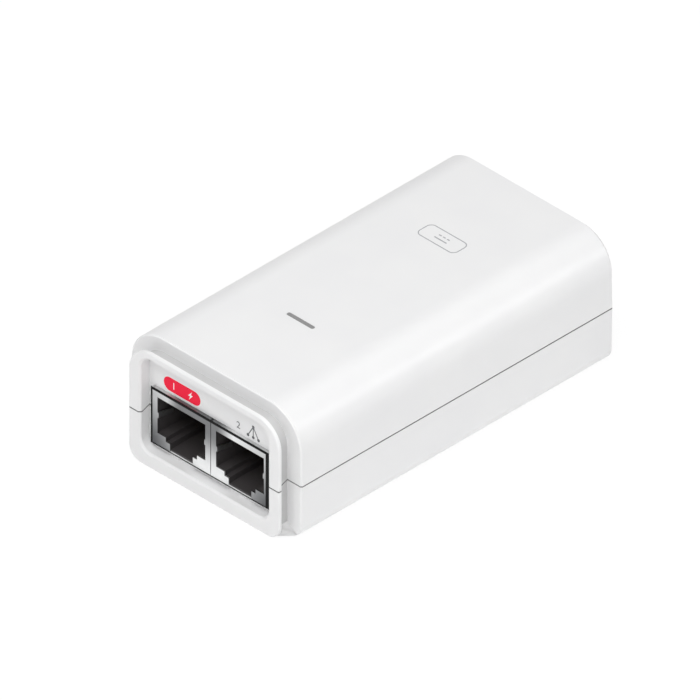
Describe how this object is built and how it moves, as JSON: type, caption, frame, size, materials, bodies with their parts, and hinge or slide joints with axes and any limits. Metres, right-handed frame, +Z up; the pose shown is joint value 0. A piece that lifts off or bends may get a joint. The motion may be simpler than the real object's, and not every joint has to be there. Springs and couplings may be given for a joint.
{
  "type": "poe injector",
  "caption": "Small moulded mains adapter with a front bezel of side-by-side shielded network sockets, a light bar on top and an appliance inlet at the back.",
  "frame": {"origin": "middle of the footprint on the surface that the case stands on", "axes": "+X to the right seen from the sockets, +Y from the sockets (front) to the mains inlet (back), +Z up"},
  "size_m": [0.0472, 0.09, 0.0293],
  "materials": {
    "white_case": "moulded, satin",
    "light_pipe": "clear, smoked",
    "shield_metal": "tinned sheet",
    "black_plastic": "moulded",
    "contact_metal": "gold plated",
    "pin_metal": "nickel plated",
    "board": "solder resist on glass fibre",
    "lamp": "clear",
    "ferrite": "sintered",
    "tape": "polyester tape",
    "copper": "enamelled wire",
    "bobbin_plastic": "moulded",
    "heat_sink": "rolled sheet",
    "screw_steel": "zinc plated",
    "can_sleeve": "shrink sleeve on aluminium",
    "epoxy_black": "moulded epoxy",
    "epoxy_blue": "dipped coating",
    "film_yellow": "moulded box"
  },
  "bodies": {
    "root": {"top_cover": "white_case", "bottom_case": "white_case", "led_light_pipe": "light_pipe", "status_led": "lamp", "circuit_board": "board", "mains_inlet": "black_plastic", "inlet_pins": "pin_metal", "transformer_core": "ferrite", "transformer_bobbin": "bobbin_plastic", "transformer_winding": "tape", "heat_sink": "heat_sink", "switching_transistor": "epoxy_black", "transistor_screw": "screw_steel", "choke_core": "ferrite", "choke_windings": "copper", "bridge_rectifier": "epoxy_black", "output_capacitor_left": "can_sleeve", "output_capacitor_right": "can_sleeve", "bulk_capacitor": "can_sleeve", "fuse": "black_plastic", "x_capacitor": "film_yellow", "varistor": "epoxy_blue", "y_capacitor": "epoxy_blue", "optocoupler": "epoxy_black", "output_diode": "epoxy_black", "poe_port_shield": "shield_metal", "poe_port_housing": "black_plastic", "poe_port_contact_carrier": "black_plastic", "poe_port_contact_leads": "contact_metal", "lan_port_shield": "shield_metal", "lan_port_housing": "black_plastic", "lan_port_contact_carrier": "black_plastic", "lan_port_contact_leads": "contact_metal"},
    "poe_contact_wires": {"poe_port_contact_springs": "contact_metal"},
    "lan_contact_wires": {"lan_port_contact_springs": "contact_metal"}
  },
  "joints": [
    {"name": "poe_contacts_flex", "type": "hinge", "parent": "root", "child": "poe_contact_wires", "pos_m": [-0.00808, -0.03935, 0.01599], "axis": [1, 0, 0], "range_deg": [0, 8], "stiffness_Nm_per_rad": 0.02},
    {"name": "lan_contacts_flex", "type": "hinge", "parent": "root", "child": "lan_contact_wires", "pos_m": [0.00808, -0.03935, 0.01599], "axis": [1, 0, 0], "range_deg": [0, 8], "stiffness_Nm_per_rad": 0.02}
  ]
}
